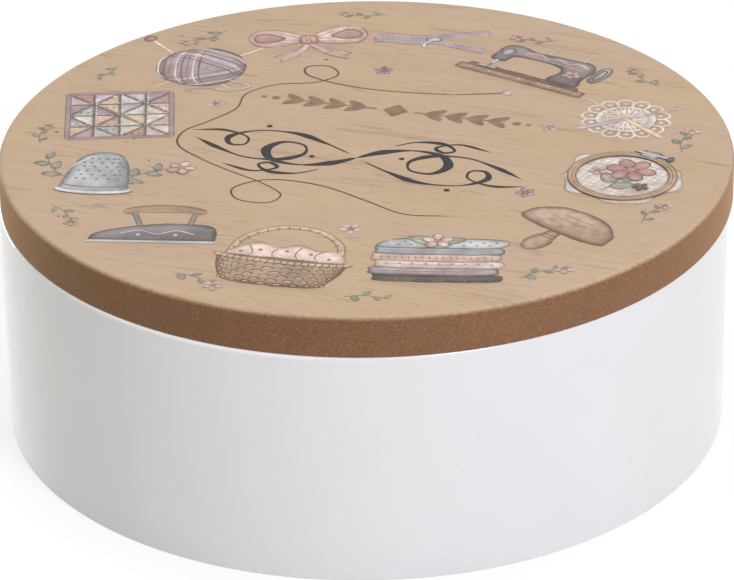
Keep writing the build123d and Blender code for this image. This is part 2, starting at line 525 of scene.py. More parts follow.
# Felt: a disc with a slightly uneven cut edge and a soft, barely wavy top
radius = lining_high.x
wave = 0.05 * (lining_high.z - lining_low.z)
bm = bmesh.new()
sheets = []
for base, depth in ((lining_high.z, wave), (lining_low.z, 0)):
    rings = [[bm.verts.new((0, 0, base))] * FELT_SEGMENTS]
    for i in range(1, FELT_RINGS + 1):
        rings.append([])
        for k in range(FELT_SEGMENTS):
            angle = tau * k / FELT_SEGMENTS
            r = radius * i / FELT_RINGS
            if i == FELT_RINGS:
                r -= (0.25 + 0.2 * sin(23 * angle) * sin(7 * angle)) * MM
            sag = depth * (1 + sin(9 * angle + r * 70) * cos(r * 180))
            rings[-1].append(bm.verts.new((*polar(r, angle), base - sag)))
    sheets.append(rings)
join_rings(bm, sheets[0] + sheets[1][::-1])
piece = solid_piece("felt_lining", bm, felt_nap, "box", "base_lining", radians(60))


# The print: flat paint in millimetres on the lid, with its own axes turned by LID_TURN
CREAM, LINEN, CHALK = "dad2c9", "cbbeb1", "dfdcd9"
BLUSH, ROSE, TERRA = "dcbeb1", "b98c82", "b67a5c"
MAUVE, LILAC, PLUM = "a68f9b", "c9b8c2", "524049"
BIRCH, WOOD, WALNUT = "d2b59b", "9a765f", "503422"
INK, SLATE, GREY, SILVER = "1f1d1f", "454348", "818287", "c1c4c7"
PEN = "181715"
SAGE, VEIN, SHADOW = "98a08c", "6f7866", "8f6d52"

# Heights of the paint: layers, and smaller running steps inside a layer
PAINT_LIFT = 0.02 * MM
PAINT_LAYER = 0.009 * MM
RUNNING_STEP, RUNNING_STEPS = 0.03, 8
STROKE_RISE = 0.6

# Spacing of the paint's points, in millimetres
PAINT_GRID = 1.1
GRID_JITTER = 0.2
OUTLINE_STEP = 0.8
STROKE_STEP = 0.5
CURVE_STEPS = 12

# How much the colours are muted, blotched, tinted at a rim, and inked and hatched
MUTED = 0.16
BLOTCHED = 0.15
RIMMED = 0.85
PEN_INKED = 0.55
HATCHED_SHARE = 0.4
HATCH_GAP = 1.15
SHORTEST_OUTLINE = 9


def pigment(code):
    """Linear colour of a six-digit sRGB code, muted towards its grey."""
    channels = [int(code[i:i + 2], 16) / 255 for i in (0, 2, 4)]
    grey = sum(channels) / 3
    return np.array([((c + (grey - c) * MUTED + 0.055) / 1.055) ** 2.4 for c in channels])


def even(line, step=0.7):
    """The line as points about one step apart."""
    line = np.asarray(line, float)
    run = np.concatenate(([0.0], np.cumsum(np.hypot(*np.diff(line, axis=0).T))))
    at = np.linspace(0, run[-1], max(2, int(round(run[-1] / step)) + 1))
    return np.column_stack((np.interp(at, run, line[:, 0]), np.interp(at, run, line[:, 1])))


def curve(points, closed=False):
    """A smooth line through the points."""
    p = np.asarray(points, float)
    if closed:
        q = np.vstack((p[-1:], p, p[:2]))
    else:
        q = np.vstack((2 * p[:1] - p[1:2], p, 2 * p[-1:] - p[-2:-1]))
    t = np.linspace(0, 1, CURVE_STEPS, endpoint=False)[:, None]
    parts = []
    for a, b, c, d in zip(q, q[1:], q[2:], q[3:]):
        square, cube = 2 * a - 5 * b + 4 * c - d, 3 * b - a - 3 * c + d
        parts.append(b + 0.5 * ((c - a) * t + square * t**2 + cube * t**3))
    return even(np.vstack(parts + [p[:1] if closed else p[-1:]]))


def oval(x, y, wide, high, start=0.0, sweep=360.0, turn=0.0):
    angle = np.radians(np.linspace(start, start + sweep, max(9, int(abs(sweep) / 6) + 1)))
    u, v, t = wide / 2 * np.cos(angle), high / 2 * np.sin(angle), radians(turn)
    return np.column_stack((x + u * cos(t) - v * sin(t), y + u * sin(t) + v * cos(t)))


def moved(line, x=0.0, y=0.0, turn=0.0, size=1.0):
    t = radians(turn)
    return np.asarray(line, float) * size @ np.array(((cos(t), sin(t)), (-sin(t), cos(t)))) + (x, y)


def sideways(line):
    """Unit vectors to the left of a line, one at each of its points."""
    along = np.gradient(line, axis=0)
    along /= np.maximum(np.hypot(*along.T), 1e-9)[:, None]
    return np.column_stack((-along[:, 1], along[:, 0]))


def depth_inside(points, loop):
    """Distance of each point from a closed loop, negative outside it."""
    a, b, p = loop[None], np.roll(loop, -1, 0)[None], points[:, None]
    ab = b - a
    t = np.clip(((p - a) * ab).sum(-1) / ((ab**2).sum(-1) + 1e-12), 0, 1)
    gap = np.sqrt(((p - a - t[..., None] * ab) ** 2).sum(-1)).min(1)
    over = (a[..., 1] > p[..., 1]) != (b[..., 1] > p[..., 1])
    slope = ab[..., 0] * (p[..., 1] - a[..., 1]) / np.where(ab[..., 1] == 0, 1e-9, ab[..., 1])
    crossings = (over & (p[..., 0] < slope + a[..., 0])).sum(1)
    return np.where(crossings % 2 == 1, gap, -gap)


class Artwork:
    """Paint laid down in layers, each a hair above the last, then made into one piece on the lid."""

    def __init__(self, name, *place):
        self.name, self.place = name, place
        self.layer = self.step = 0
        self.points, self.layers, self.colours, self.faces = [], [], [], []
        self.waves = rng.normal(0, 0.55, (5, 2)), rng.uniform(0, tau, 5)

    def up(self):
        self.layer += 1

    def lay(self, points, faces, colours, cover, rise=0.0):
        """Adds faces. rise and the running step keep paint within one layer from meeting itself."""
        start, count = len(self.points), len(points)
        self.step = (self.step + 1) % RUNNING_STEPS
        blotches = np.sin(points @ self.waves[0].T + self.waves[1]).sum(1) / 2.6
        colours = np.clip(colours * (1 + BLOTCHED * blotches)[:, None], 0, 1)
        self.points.extend(moved(points, *self.place))
        self.layers.extend(self.layer + RUNNING_STEP * self.step + np.broadcast_to(rise, count))
        self.colours.extend(np.column_stack((colours, np.broadcast_to(cover, count))))
        self.faces.extend([tuple(start + i for i in face) for face in faces])

    def outline_pen(self, loop, colour):
        """A thin drawn line round a shape, in a few passes that waver and leave small gaps."""
        length = np.hypot(*np.diff(loop, axis=0).T).sum()
        if length < SHORTEST_OUTLINE:
            return
        tone = (1 - PEN_INKED) * pigment(colour) + PEN_INKED * pigment(INK)
        passes = 2 + int(length / 30)
        start = int(rng.integers(len(loop)))
        for k in range(passes):
            first = start + int(k * len(loop) / passes)
            count = int(len(loop) / passes * rng.uniform(0.86, 1.08))
            line = loop[np.arange(first, first + count) % len(loop)]
            waver = [np.convolve(rng.normal(0, 0.22, count + 6), np.ones(7) / 7, "valid") for _ in "xy"]
            widths = rng.uniform(0.26, 0.58, 9)
            self.draw(line + np.column_stack(waver), widths, tone, ends=(0.08, 0.12), cover=0.85)

    def hatching(self, loop, rim, aim):
        """Short slanting pen lines along the side of a shape that aim points to."""
        slant, across = np.array((0.57, 0.82)), np.array((-0.82, 0.57))
        reach = loop @ aim
        edge = reach.max() - HATCHED_SHARE * np.ptp(reach)
        along = np.arange((loop @ slant).min(), (loop @ slant).max(), 0.4)
        tone = 0.5 * pigment(rim) + 0.5 * pigment(INK)
        for at in np.arange((loop @ across).min() + 0.6, (loop @ across).max(), HATCH_GAP):
            line = across * (at + rng.uniform(-0.2, 0.2)) + slant * along[:, None]
            kept = (depth_inside(line, loop) > 0.5) & (line @ aim > edge + rng.uniform(-0.6, 0.6))
            for first, last in np.flatnonzero(np.diff(np.concatenate(([0], kept, [0])))).reshape(-1, 2):
                if last - first > 4:
                    self.draw(line[first:last], (0.14, 0.32, 0.14), tone, ends=(0.2, 0.4), cover=0.45)

    def fill(self, outline, colour, rim=None, shade=None, rim_width=1.0, cover=1.0, fade=0.0):
        """A washed shape. rim tints its edge; shade = (direction in degrees, colour, strength)."""
        loop = even(np.vstack((outline, outline[:1])), OUTLINE_STEP)[:-1]
        grid = np.meshgrid(*(np.arange(a, b, PAINT_GRID) for a, b in zip(loop.min(0), loop.max(0))))
        grid[0][1::2] += PAINT_GRID / 2
        grid = np.column_stack([axis.ravel() for axis in grid])
        grid = grid + rng.uniform(-GRID_JITTER, GRID_JITTER, grid.shape)
        grid = grid[depth_inside(grid, loop) > 0.45 * PAINT_GRID]
        ring = [(i, (i + 1) % len(loop)) for i in range(len(loop))]
        made = delaunay_2d_cdt([Vector(p) for p in np.vstack((loop, grid))], ring, [], 1, 1e-6)
        points = np.array([tuple(v) for v in made[0]])
        depth = np.maximum(depth_inside(points, loop), 0)
        tone = np.tile(pigment(colour), (len(points), 1))
        if shade:
            aim = np.array(polar(1, radians(shade[0])))
            reach = points @ aim
            share = ((reach - reach.min()) / max(np.ptp(reach), 1e-6))[:, None] ** 1.6 * shade[2]
            tone = tone + (pigment(shade[1]) - tone) * share
        if rim:
            tone = tone + (pigment(rim) - tone) * RIMMED * np.exp(-((depth / rim_width) ** 2))[:, None]
        if fade:
            cover = cover * np.clip(depth / fade, 0, 1)
        self.lay(points, made[2], tone, cover)
        self.up()
        if rim:
            self.outline_pen(loop, rim)
            if shade and min(np.ptp(loop, axis=0)) > 5:
                paler = pigment(shade[1]).sum() > pigment(colour).sum()
                self.hatching(loop, rim, -aim if paler else aim)
            self.up()

    def shape(self, points, *look, **more):
        """A fill with a smooth outline."""
        self.fill(curve(points, True), *look, **more)

    def shadow(self, x, y, wide, high, cover=0.38):
        self.fill(oval(x, y, wide, high), SHADOW, cover=cover, fade=min(wide, high) / 2.2)

    def draw(self, line, width, colour, core=None, ends=(0.0, 0.0), cover=0.92):
        """A brush line. width may be a list along it; core is the colour of its middle. Call up on
        what this returns to paint on top of it."""
        line = even(line, STROKE_STEP)
        side = sideways(line)
        t = np.linspace(0, 1, len(line))
        half = np.interp(t, np.linspace(0, 1, np.size(width)), np.atleast_1d(width)) / 2
        for taper, place in zip(ends, (t, 1 - t)):
            if taper:
                half = half * np.sqrt(np.clip(place / taper, 0.02, 1))
        offsets = (1, 0.45, -0.45, -1) if core else (1, -1)
        points = np.vstack([line + side * (half * k)[:, None] for k in offsets])
        tones = [core if core and abs(k) < 1 else colour for k in offsets]
        tones = [pigment(tone) if isinstance(tone, str) else tone for tone in tones]
        n = len(line)
        faces = [(r * n + i, (r + 1) * n + i, (r + 1) * n + i + 1, r * n + i + 1)
                 for r in range(len(offsets) - 1) for i in range(n - 1)]
        rise = np.tile(STROKE_RISE * t, len(offsets))
        self.lay(points, faces, np.repeat(tones, n, axis=0), cover, rise)
        return self

    def line(self, points, *look, **more):
        """A stroke along a smooth line."""
        return self.draw(curve(points), *look, **more)

    def dashes(self, line, width, colour, dash=1.3, gap=1.0):
        line = even(line, 0.1)
        every, length = int((dash + gap) * 10), int(dash * 10)
        for i in range(0, len(line) - length, every):
            self.draw(line[i:i + length + 1], width, colour)

    def dot(self, x, y, radius, colour, cover=0.95):
        ring = oval(x, y, 2 * radius, 2 * radius)[::6][:10]
        points = np.vstack((ring, ((x, y),)))
        faces = [(i, (i + 1) % len(ring), len(ring)) for i in range(len(ring))]
        self.lay(points, faces, np.tile(pigment(colour), (len(points), 1)), cover)

    def dots(self, places, radius, colour):
        for place in places:
            self.dot(*place, radius, colour)
        self.up()

    def piece(self):
        mesh = bpy.data.meshes.new(self.name)
        flat = moved(self.points, *LID_CENTRE.xy, LID_TURN, MM)
        height = face_high.z + PAINT_LIFT + PAINT_LAYER * np.array(self.layers)
        mesh.from_pydata(np.column_stack((flat, height)).tolist(), [], self.faces)
        paint = mesh.color_attributes.new("paint", "FLOAT_COLOR", "POINT")
        paint.data.foreach_set("color", np.array(self.colours, dtype=np.float32).ravel())
        shown(self.name, mesh, ink, "lid")


# Small growing things, used in and between the larger motifs
def leaf(art, x, y, turn, length, colour=SAGE):
    blade = np.array([(0, 0), (0.3, 0.306), (0.7, 0.238), (1, 0), (0.7, -0.204), (0.3, -0.272)])
    blade = moved(curve(blade * length, True), x, y, turn)
    art.fill(blade, colour, VEIN, (90 + turn, CREAM, 0.35), 0.6)
    art.draw(moved([(0, 0), (0.85 * length, 0)], x, y, turn), 0.35, VEIN, ends=(0, 0.6)).up()


def blossom(art, x, y, size, colour=BLUSH, rim=ROSE, petals=5, turn=0.0):
    for k in range(petals):
        a = turn + 360 * k / petals
        petal = oval(*polar(0.30 * size, radians(a), x, y), 0.46 * size, 0.34 * size, turn=a)
        art.fill(petal, colour, rim, (a + 180, rim, 0.5), 0.5)
    art.dot(x, y, 0.09 * size, TERRA)
    art.up()
    for k in range(petals):
        a = radians(turn + 360 * (k + 0.5) / petals)
        art.dot(*polar(0.16 * size, a, x, y), 0.28, WALNUT)
    art.up()


def sprig(art, x, y, turn, length, leaves=5, bloom=None, colour=SAGE):
    stem = np.array([(0, 0), (0.35, 0.07), (0.7, 0.02), (1, -0.1)]) * length
    stem = moved(curve(stem), x, y, turn)
    art.draw(stem, 0.5, "7a7460", ends=(0, 0.4)).up()
    for k in range(leaves):
        share = (k + 0.8) / (leaves + 0.6)
        side = 48 if k % 2 else -52
        foot = stem[int(share * (len(stem) - 1))]
        leaf(art, *foot, turn + side, length * (0.30 - 0.1 * share), colour)
    if bloom:
        blossom(art, *stem[-1], bloom)


def sewing_machine(art):
    art.shadow(1, -13.5, 56, 6)
    art.fill(block(-25, -14, 25, -9.6), WOOD, WALNUT, (90, BIRCH, 0.6))
    art.fill([(-22.5, -9.6), (22, -9.6), (21, -7.4), (-21.5, -7.4)], "80604e", WALNUT)
    body = [(19.5, -7.4), (18.6, -1), (18.8, 7), (15.5, 12), (6, 11.6), (-6, 10.6), (-13, 12.6),
            (-18, 10), (-18.4, 4), (-17.6, -1.4), (-12.2, -1.4), (-11.2, 3.6), (-4, 4.8), (5, 4.6),
            (9, 1), (8, -7.4)]
    art.shape(body, "5f555c", INK, (95, LILAC, 0.55), 1.2)
    for x, start, end, width in ((-1.5, 11, 17.5, 0.9), (12, 12, 15.5, 0.9), (-15, -1.4, -5.4, 1.5)):
        art.draw([(x, start), (x, end)], width, GREY, SILVER)
    art.draw([(-15, -5), (-15, -8.6)], 0.55, SLATE)
    art.draw([(-18.6, -8), (-12, -8)], 1.2, GREY, SILVER)
    art.fill(oval(22.2, 5.5, 5.4, 14), GREY, SLATE, (60, CHALK, 0.7))
    art.draw(oval(22.2, 5.5, 2.4, 9), 0.7, SLATE)
    art.fill(oval(-15, 6, 4.2, 6.4), SILVER, SLATE)
    art.line([(-9, 8), (-4, 9.6), (0, 7.4), (4, 9.4), (8, 7.6), (12, 9.6), (16, 8)], 0.75, BIRCH)
    art.line([(-9, 6.4), (0, 6), (9, 6), (15, 4.8)], 0.4, BIRCH).up()
    blossom(art, 13.6, 0.6, 6)
    art.dots([(-20 + 4 * k, -11.8) for k in range(11)], 0.55, BIRCH)


def yarn_ball(art):
    art.shadow(0, -12.5, 34, 8)
    for side in (1, -1):
        needle = [(20 * side, 20), (-12.5 * side, -16.5)]
        art.draw(needle, [1.7, 1.7, 0.5], WOOD, "e8cfae").up()
        art.fill(oval(20.6 * side, 20.7, 4.4, 4.4), TERRA, WALNUT, (60, BLUSH, 0.6))
    radius = 14.5
    art.fill(oval(0, 0, 2 * radius, 2 * radius), MAUVE, PLUM, (70, LILAC, 0.75), 1.8)
    for turn, lowest, highest, bulge in ((28, -13, -3, -1.5), (96, -2, 13, 2.5), (152, -12, 1, -2.5)):
        for k, y in enumerate(np.arange(lowest, highest, 1.9)):
            reach = 0.985 * sqrt(max(radius**2 - y**2, 1))
            strand = curve(mirrored([(-reach, y), (-reach / 2, y + bulge)]))
            tone = (PLUM, CHALK, "857079")[k % 3]
            art.draw(moved(strand, turn=turn), 0.62, tone, ends=(0.2, 0.2), cover=0.8)
        art.up()
    loose = [(11, -9.5), (18, -13), (12, -17), (3, -15.5), (-3, -19)]
    art.line(loose, 1.0, PLUM, LILAC, ends=(0, 0.1)).up()


def thimble(art):
    sprig(art, -6, -6, 128, 20)
    art.layer = 0
    sprig(art, 6, -7, 40, 20, 5, 8)
    above_sprigs, art.layer = art.layer, 0
    art.shadow(0.6, -11.7, 25, 6)
    art.layer = above_sprigs
    side = curve(mirrored([(-10, -11), (-8.6, -3), (-7.4, 5), (-5, 10.4), (0, 12.4)]))
    front = np.vstack((side, oval(0, -11, 20, 4.6, sweep=-180)[1:-1]))
    art.fill(front, "b9bdc0", "6c737b", (-15, "80878e", 0.8), 1.2)
    for row in range(6):
        y = -4.6 + 2.6 * row
        reach = 6.6 - 0.16 * max(row - 2, 0) ** 2.4
        for k in range(5):
            x = reach * sin((k - 2) * 0.56 + (0.28 if row % 2 else 0)) / 1.02
            art.dot(x, y - 0.0048 * (49 - x * x), 0.55, "71787f")
    art.line([(-8.4, 2.2), (-5, 7.5), (-2, 10.5)], 0.9, CHALK, ends=(0.4, 0.4), cover=0.75)
    art.draw(oval(0, -8, 18.4, 4, 180, 180), 0.6, "646b72")
    art.draw(oval(0, -10.8, 20.6, 5, 180, 180), 2.0, "737a81", "d5d8da").up()


def embroidery_hoop(art):
    cloth = np.array([polar(18.5 * (1 + 0.07 * sin(5 * a) + 0.05 * sin(9 * a + 1)), a)
                      for a in np.linspace(0, tau, 40)[:-1]])
    art.shape(cloth + (1, -1.2), SHADOW, cover=0.35, fade=2)
    art.shape(cloth, CREAM, "b7a491")
    art.fill(oval(0, 0, 30, 30), CHALK, LINEN, (-60, LINEN, 0.6))
    for k in range(-6, 7):
        at = 2.2 * k
        reach = sqrt(14.6**2 - at**2)
        for thread in ([(-reach, at), (reach, at)], [(at, -reach), (at, reach)]):
            art.draw(thread, 0.3, "c9bbab", cover=0.5)
    art.up()
    art.line([(-1, -12), (0.5, -6), (-0.5, 0), (0, 3)], 0.9, "77805f", ends=(0.2, 0)).up()
    for place in ((0.3, -8, 38, 8), (0.2, -5, 146, 8.5), (0, -1.5, 20, 6.5)):
        leaf(art, *place)
    blossom(art, 0, 5.4, 15, ROSE, "8e5c58", 6, 15)
    blossom(art, -8.6, -0.6, 6)
    blossom(art, 8.6, -3.6, 5.4, MAUVE, PLUM)
    art.draw(oval(0, 0, 32, 32), 2.9, WALNUT, "bb9b7c").up()
    art.draw(oval(0, 0, 31.8, 31.8), 0.4, "8a5f3f").up()
    art.fill(block(-3, 15.6, 3, 20), SILVER, SLATE)
    art.draw([(-6, 18.2), (6.4, 18.2)], 1.3, SLATE, SILVER).up()
    art.fill(oval(7, 18.2, 2.2, 4), GREY, SLATE)


def ribbon_bow(art):
    def half(side, points, closed=True):
        return curve(points, closed) * (side, 1)

    seam, knot_rim = "9a655d", "8e5a54"
    art.shadow(0, -8, 34, 14, 0.28)
    for side in (1, -1):
        tail = half(side, [(0, -1), (-4, -6), (-9, -11), (-15, -14.5), (-12, -16.6), (-13, -20),
                           (-6, -15), (-1, -8), (1.4, -2)])
        art.fill(tail, BLUSH, ROSE, (-120, ROSE, 0.6))
        fold = half(side, [(-1.4, -3), (-5, -9), (-11.5, -15)], False)
        art.draw(fold, 0.5, seam, ends=(0.2, 0.5)).up()
        loop = half(side, [(-1, 1.6), (-6, 7.6), (-14, 11), (-21, 9), (-23, 2), (-19, -4.6),
                           (-11, -4.8), (-4, -2.6)])
        art.fill(loop, "e6c9bd", ROSE, (90 + 90 * side, "d3a497", 0.7), 1.4)
        hollow = half(side, [(-9, 2.4), (-15, 7.4), (-20.4, 6), (-20.6, 0.4), (-15, -1.4)])
        art.fill(hollow, "b08379", "7d4f4b", (90, "cfa79c", 0.8))
        for points in ([(-2, 0.6), (-7, 4.6), (-13, 8.4)], [(-2, -0.2), (-8, 0.6), (-13, 0.6)],
                       [(-2.4, -1), (-8, -2.4), (-14, -3.4)]):
            art.draw(half(side, points, False), 0.5, seam, ends=(0.1, 0.7), cover=0.8)
        art.up()
    art.shape([(-3, 3), (0, 3.9), (3, 3), (3.5, -0.5), (2.6, -3.6), (-2.6, -3.6), (-3.5, -0.5)],
              "d9aa9d", knot_rim, (-90, ROSE, 0.7))
    for x in (-1.2, 0.9):
        art.line([(x, 2.8), (x * 0.5, 0), (x, -2.8)], 0.4, knot_rim)
    art.up()


def flat_iron(art):
    art.shadow(0, -10.5, 48, 7)
    sole = [(-22, -9.6), (-20, -5), (-12, -0.6), (-1, 2), (10, 2.4), (17.4, 0.4), (19, -5), (19, -9.6)]
    art.fill(curve(sole), "524e54", INK, (100, "a7a2a8", 0.8), 1.3)
    art.draw([(-22.6, -10.2), (19.4, -10.2)], 1.9, SLATE, SILVER).up()
    for post in ([(-6, 1), (-8.6, 9.4)], [(10, 2), (11, 9.4)]):
        art.draw(post, 2.0, INK, GREY).up()
    grip = curve([(-12.6, 10.4), (-7, 12.6), (1, 13.4), (9, 12.6), (14.6, 10.6)])
    art.draw(grip, [3.6, 4.8, 5.4, 4.8, 3.6], WALNUT, "a88468", ends=(0.05, 0.05)).up()
    art.draw(moved(grip, y=0.8, size=0.8), 0.6, BIRCH, ends=(0.3, 0.3), cover=0.8).up()
    art.line([(-12, -5), (-6, -2.4), (0, -5), (6, -2.4), (12, -5)], 0.6, SILVER)
    art.dots(((-6, -5.6), (6, -5.6)), 0.8, SILVER)


def quilt_square(art):
    tones = (MAUVE, CREAM, BLUSH, "a9adb0", LINEN, ROSE, LILAC, BIRCH)
    cell, count = 8.6, 4
    low = -cell * count / 2
    cells = [(row, column) for row in range(count) for column in range(count)]
    art.fill(block(low, low - 2, 2 - low, -low), SHADOW, cover=0.4, fade=2.2)
    for row, column in cells:
        x, y = low + column * cell, low + row * cell
        corners = block(x, y, x + cell, y + cell)
        start = (row + column) % 2
        for k, tone in zip((0, 2), rng.choice(len(tones), 2, replace=False)):
            triangle = [corners[(start + k + i) % 4] for i in range(3)]
            art.fill(triangle, tones[tone], SLATE, rim_width=0.45)
            art.layer -= 2
    art.layer += 2
    for row, column in cells:
        x, y = low + (column + 0.5) * cell, low + (row + 0.5) * cell
        for k in range(3 if (row + 2 * column) % 3 else 0):
            tone = CHALK if row % 2 else PLUM
            art.dot(x - 2.4 + 2.4 * k, y + (1.8 if column % 2 else -1.8), 0.45, tone)
    for k in range(count + 1):
        at = low + k * cell + 0.8
        art.dashes([(at, low), (at, -low)], 0.32, CHALK)
        art.dashes([(low, at), (-low, at)], 0.32, CHALK)
    art.up()
    corners = block(low, low, -low, -low)
    for side in zip(corners, corners[1:] + corners[:1]):
        art.draw(side, 1.9, PLUM, "9b8490")
    art.up()


def wicker_basket(art):
    art.shadow(0, -13.5, 46, 8)
    art.line(mirrored([(-17, 4), (-15, 15), (-8, 22.5), (0, 24.6)]), 2.6, WALNUT, BIRCH).up()
    for k in range(15):
        a = radians(12 + 11.1 * k)
        x, y = 16.6 * cos(a), 4 + 20 * sin(a)
        art.draw([(x * 0.95, y - 0.9), (x * 1.05, y + 0.9)], 0.5, "8b6143")
    art.up()
    cloth = [(-17, 3), (-15, 9), (-9, 12.4), (-3, 10.4), (3, 13), (9, 10.6), (15, 11), (18, 4), (0, 1)]
    art.shape(cloth, "e4cdc1", ROSE, (-90, BLUSH, 0.8))
    for fold in ([(-12, 10.6), (-10, 6), (-11, 3)], [(-3, 10), (-4, 6), (-2, 3)],
                 [(4, 12), (3, 7), (5, 3)], [(11, 10.6), (9, 7), (11, 3)]):
        art.line(fold, 0.55, "a4716a", ends=(0.1, 0.5))
    art.up()
    art.dots(((-8, 8), (0, 8.6), (7.6, 8), (-13.6, 6), (13.6, 6)), 0.7, "9b615a")
    side = curve([(-20, 3.6), (-18.6, -4), (-16, -11)])
    foot = oval(0, -11, 32, 6, 180, 180)[1:-1]
    front = np.vstack((side, foot, side[::-1] * (-1, 1)))
    art.fill(front, "b99a7d", WALNUT, (-70, "846754", 0.85), 1.6)
    count = 9
    for row in range(6):
        reach = 18.6 - 0.55 * row
        for k in range(count + row % 2):
            x = reach * sin((k - (count - 1 + row % 2) / 2) / count * 2.9)
            wide = 3.6 * max(0.35, cos(x / reach * 1.35))
            y = 1.2 - 2.5 * row - 1.9 * (1 - (x / reach) ** 2)
            art.draw(oval(x, y, wide, 1.7, 200, -220), 0.45, "5f4029")
            art.draw(oval(x, y - 0.3, wide * 0.6, 0.7, 150, -120), 0.45, "d9c4a8", cover=0.7)
        art.up()
    rim = oval(0, 3.8, 41, 5.4, 176, 188)
    art.draw(rim, 2.2, "6f4a31", "d0b394").up()
    art.dashes(rim, 1.9, "8b6143", dash=0.5, gap=1.6)
    art.up()


def folded_cloths(art):
    art.shadow(0, -12.4, 46, 7)
    blue = "656c74"
    for k, (tone, rim, slip) in enumerate((
            (SLATE, INK, 0.4), ("b8a3ae", PLUM, -0.8), (CREAM, "a8937f", 0.9), (BLUSH, ROSE, -0.3),
            ("aab0b5", blue, 0.5))):
        y = -12 + 4.5 * k
        fold = [(-18 + slip, y), (0, y - 0.5), (17 + slip, y), (20 + slip, y + 2.2),
                (17 + slip, y + 4.7), (0, y + 4.4), (-18 + slip, y + 4.7), (-18.8 + slip, y + 2.4)]
        art.shape(fold, tone, rim, (-90, rim, 0.45), 0.8)
        art.line([(-17 + slip, y + 2.3), (0, y + 1.9), (16 + slip, y + 2.4)], 0.4, rim, cover=0.7).up()
    art.shape([(-18, 10.4), (-13, 15.6), (2, 16.6), (21, 15.4), (18, 10.4), (0, 9.8)],
              "c3c8cb", blue, (60, CHALK, 0.6))
    for row, y in enumerate((12.0, 14.0)):
        for k in range(8):
            art.dot(-12 + 4 * k + 2 * row, y, 0.5, "7b838b")
    art.dots([(-15 + 4 * k, -0.6) for k in range(9)], 0.5, ROSE)
    for k in range(17):
        art.draw([(-16.6 + 2.1 * k, 2.2), (-16.9 + 2.1 * k, 4.4)], 0.4, "a8685f", cover=0.6)
    art.up()
    leaf(art, -1, 14, 160, 9)
    leaf(art, 1, 14, 15, 8)
    blossom(art, 0, 14.6, 9.5, "e9d2c8", ROSE, 5, 20)


def darning_mushroom(art):
    art.shadow(0, -15, 16, 5)
    stem = curve(mirrored([(-2.2, 2), (-2, -3), (-3.4, -8), (-3, -13), (0, -15.6)]))
    art.fill(stem, "ab8a70", WALNUT, (200, BIRCH, 0.7))
    for y in (-4.6, -6.0):
        art.draw([(-2.6, y), (2.6, y)], 0.5, WALNUT)
    art.up()
    dome = curve(mirrored([(15.6, 1), (14, 7), (8, 11.6), (0, 13)]))
    cap = np.vstack((dome, oval(0, 1, 31.2, 6, 180, 180)[1:-1]))
    art.fill(cap, "aa8466", WALNUT, (110, "dcc6b2", 0.8), 1.5)
    for k in range(4):
        grain = mirrored([(-13 + 2 * k, 2.5 + 2 * k), (0, -0.4 + 2.9 * k)])
        art.line(grain, 0.45, "8f6440", ends=(0.3, 0.3), cover=0.6)
    art.draw(oval(0, 1.4, 30, 5.6, 185, 170), 0.6, WALNUT, cover=0.8).up()


def doily_and_hooks(art):
    art.fill(oval(0.8, -1, 31, 31), SHADOW, cover=0.3, fade=3)
    art.fill(oval(0, 0, 21, 21), "e4d8ca", "b3a08d", cover=0.9)
    for k in range(14):
        turn = 360 * k / 14
        x, y = polar(12, radians(turn))
        art.draw(oval(x, y, 6.4, 5.6, turn=turn), 0.8, "e0d8ce", cover=0.95)
        art.dot(x, y, 0.8, "ded5c9")
    art.up()
    for size, width in ((19.2, 0.9), (12.8, 0.6), (6, 0.7)):
        art.draw(oval(0, 0, size, size), width, CHALK)
    for k in range(18):
        a = radians(20 * k)
        art.draw([polar(3.2, a), polar(9.4, a)], 0.45, "a9927c", cover=0.75)
        art.dot(*polar(7.9, a + 0.17), 0.55, "a38b75")
    art.up()
    for turn, tone, core in ((38, "8a6a78", LILAC), (142, WOOD, "ecd0ab")):
        shaft = moved([(-19, 0), (18, 0)], turn=turn)
        art.draw(shaft, [2.6, 3.2, 2.4, 1.6, 1.2, 1.0], tone, core, ends=(0.06, 0)).up()
        hook = moved(curve([(18, 0), (20.4, 0.2), (21.2, 1.8), (19.6, 2.7)]), turn=turn)
        art.draw(hook, 1.0, tone, core, ends=(0, 0.3)).up()


def zip_fastener(art):
    art.fill(moved(oval(0, -1, 50, 13), turn=6), SHADOW, cover=0.22, fade=5)
    closed = curve([(-26, -3), (-18, -1.4), (-9, -2), (0, 0)])
    for side in (1, -1):
        opened = curve([(0, 0), (7, 1.4 * side + 0.6), (15, 4.6 * side + 1), (25, 7.4 * side + 2)])
        tape = np.vstack((closed[:-1], opened))
        across = sideways(tape) * side
        art.draw(tape + across * 2.7, 4.6, "7d6874", "ab96a1").up()
        art.dashes(tape + across * 3.9, 0.35, LILAC)
        for k in range(3, len(tape) - 3, 2):
            tooth = [tape[k] - across[k] * 0.5, tape[k] + across[k] * 1.2]
            art.draw(tooth, 0.8, "cfc4b4" if side > 0 else "b9ad9d")
        art.up()
    art.shape([(-3, 0), (0, 2.6), (3.4, 2.2), (4.4, 0.4), (3.4, -1.8), (0, -2.6)], SILVER, SLATE)
    art.line([(0, -1), (-2.4, -5), (-2, -9)], 2.2, SLATE, SILVER, ends=(0, 0.1)).up()


